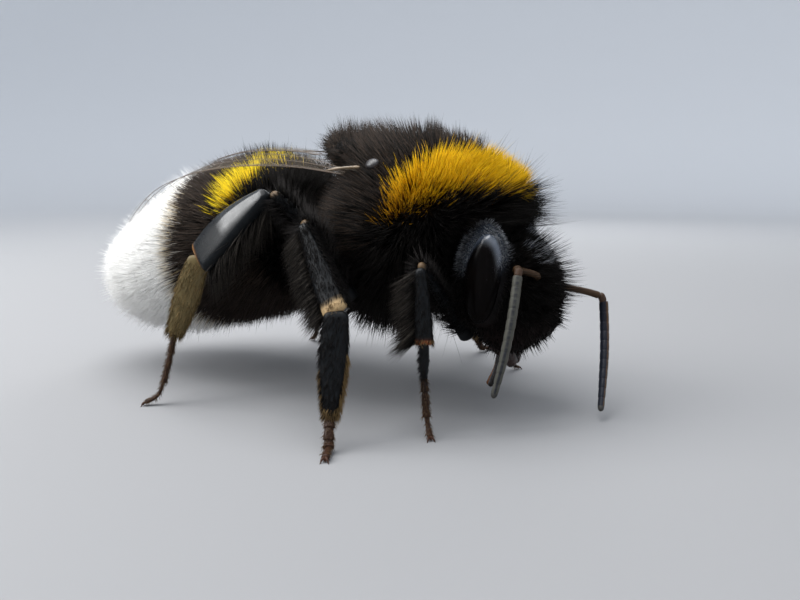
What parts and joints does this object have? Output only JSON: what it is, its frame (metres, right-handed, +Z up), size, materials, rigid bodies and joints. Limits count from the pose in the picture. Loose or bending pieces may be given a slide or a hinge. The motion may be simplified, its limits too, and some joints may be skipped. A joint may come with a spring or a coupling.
{
  "type": "bumblebee",
  "caption": "Life-size still model of a bumblebee queen standing on six feet, with folded wings, bent feelers, golden collar, lemon band and white tail.",
  "frame": {"origin": "on the floor under the middle of the bee's bounding box", "axes": "+X towards the head, +Y to the bee's left, +Z up"},
  "size_m": [0.023, 0.0162, 0.0107],
  "materials": {
    "black_coat": "dense soft black hair",
    "golden_coat": "dense golden hair",
    "lemon_coat": "dense lemon-yellow hair",
    "white_coat": "wispy white hair with a buff fringe",
    "eye": "glossy black facets",
    "cuticle": "black to reddish-brown horny skin, finely haired",
    "amber": "amber-brown horny skin",
    "wing": "thin smoky membrane with brown veins"
  },
  "bodies": {
    "root": {"abdomen_band": "lemon_coat", "abdomen_base": "black_coat", "abdomen_rear": "black_coat", "abdomen_tail": "white_coat", "basitarsus_fore_left": "cuticle", "basitarsus_fore_right": "cuticle", "basitarsus_hind_left": "cuticle", "basitarsus_hind_right": "cuticle", "basitarsus_mid_left": "cuticle", "basitarsus_mid_right": "cuticle", "eye_left": "eye", "eye_right": "eye", "femur_fore_left": "cuticle", "femur_fore_right": "cuticle", "femur_hind_left": "cuticle", "femur_hind_right": "cuticle", "femur_mid_left": "cuticle", "femur_mid_right": "cuticle", "flagellum_left": "cuticle", "flagellum_right": "cuticle", "head": "black_coat", "mandibles": "cuticle", "scape_left": "cuticle", "scape_right": "cuticle", "tarsus_fore_left": "cuticle", "tarsus_fore_right": "cuticle", "tarsus_hind_left": "cuticle", "tarsus_hind_right": "cuticle", "tarsus_mid_left": "cuticle", "tarsus_mid_right": "cuticle", "thorax_back": "black_coat", "thorax_breast": "black_coat", "thorax_collar": "golden_coat", "tibia_fore_left": "cuticle", "tibia_fore_right": "cuticle", "tibia_hind_left": "cuticle", "tibia_hind_right": "cuticle", "tibia_mid_left": "cuticle", "tibia_mid_right": "cuticle", "tongue": "amber", "wing_fore_left": "wing", "wing_fore_right": "wing", "wing_hind_left": "wing", "wing_hind_right": "wing"}
  },
  "joints": []
}
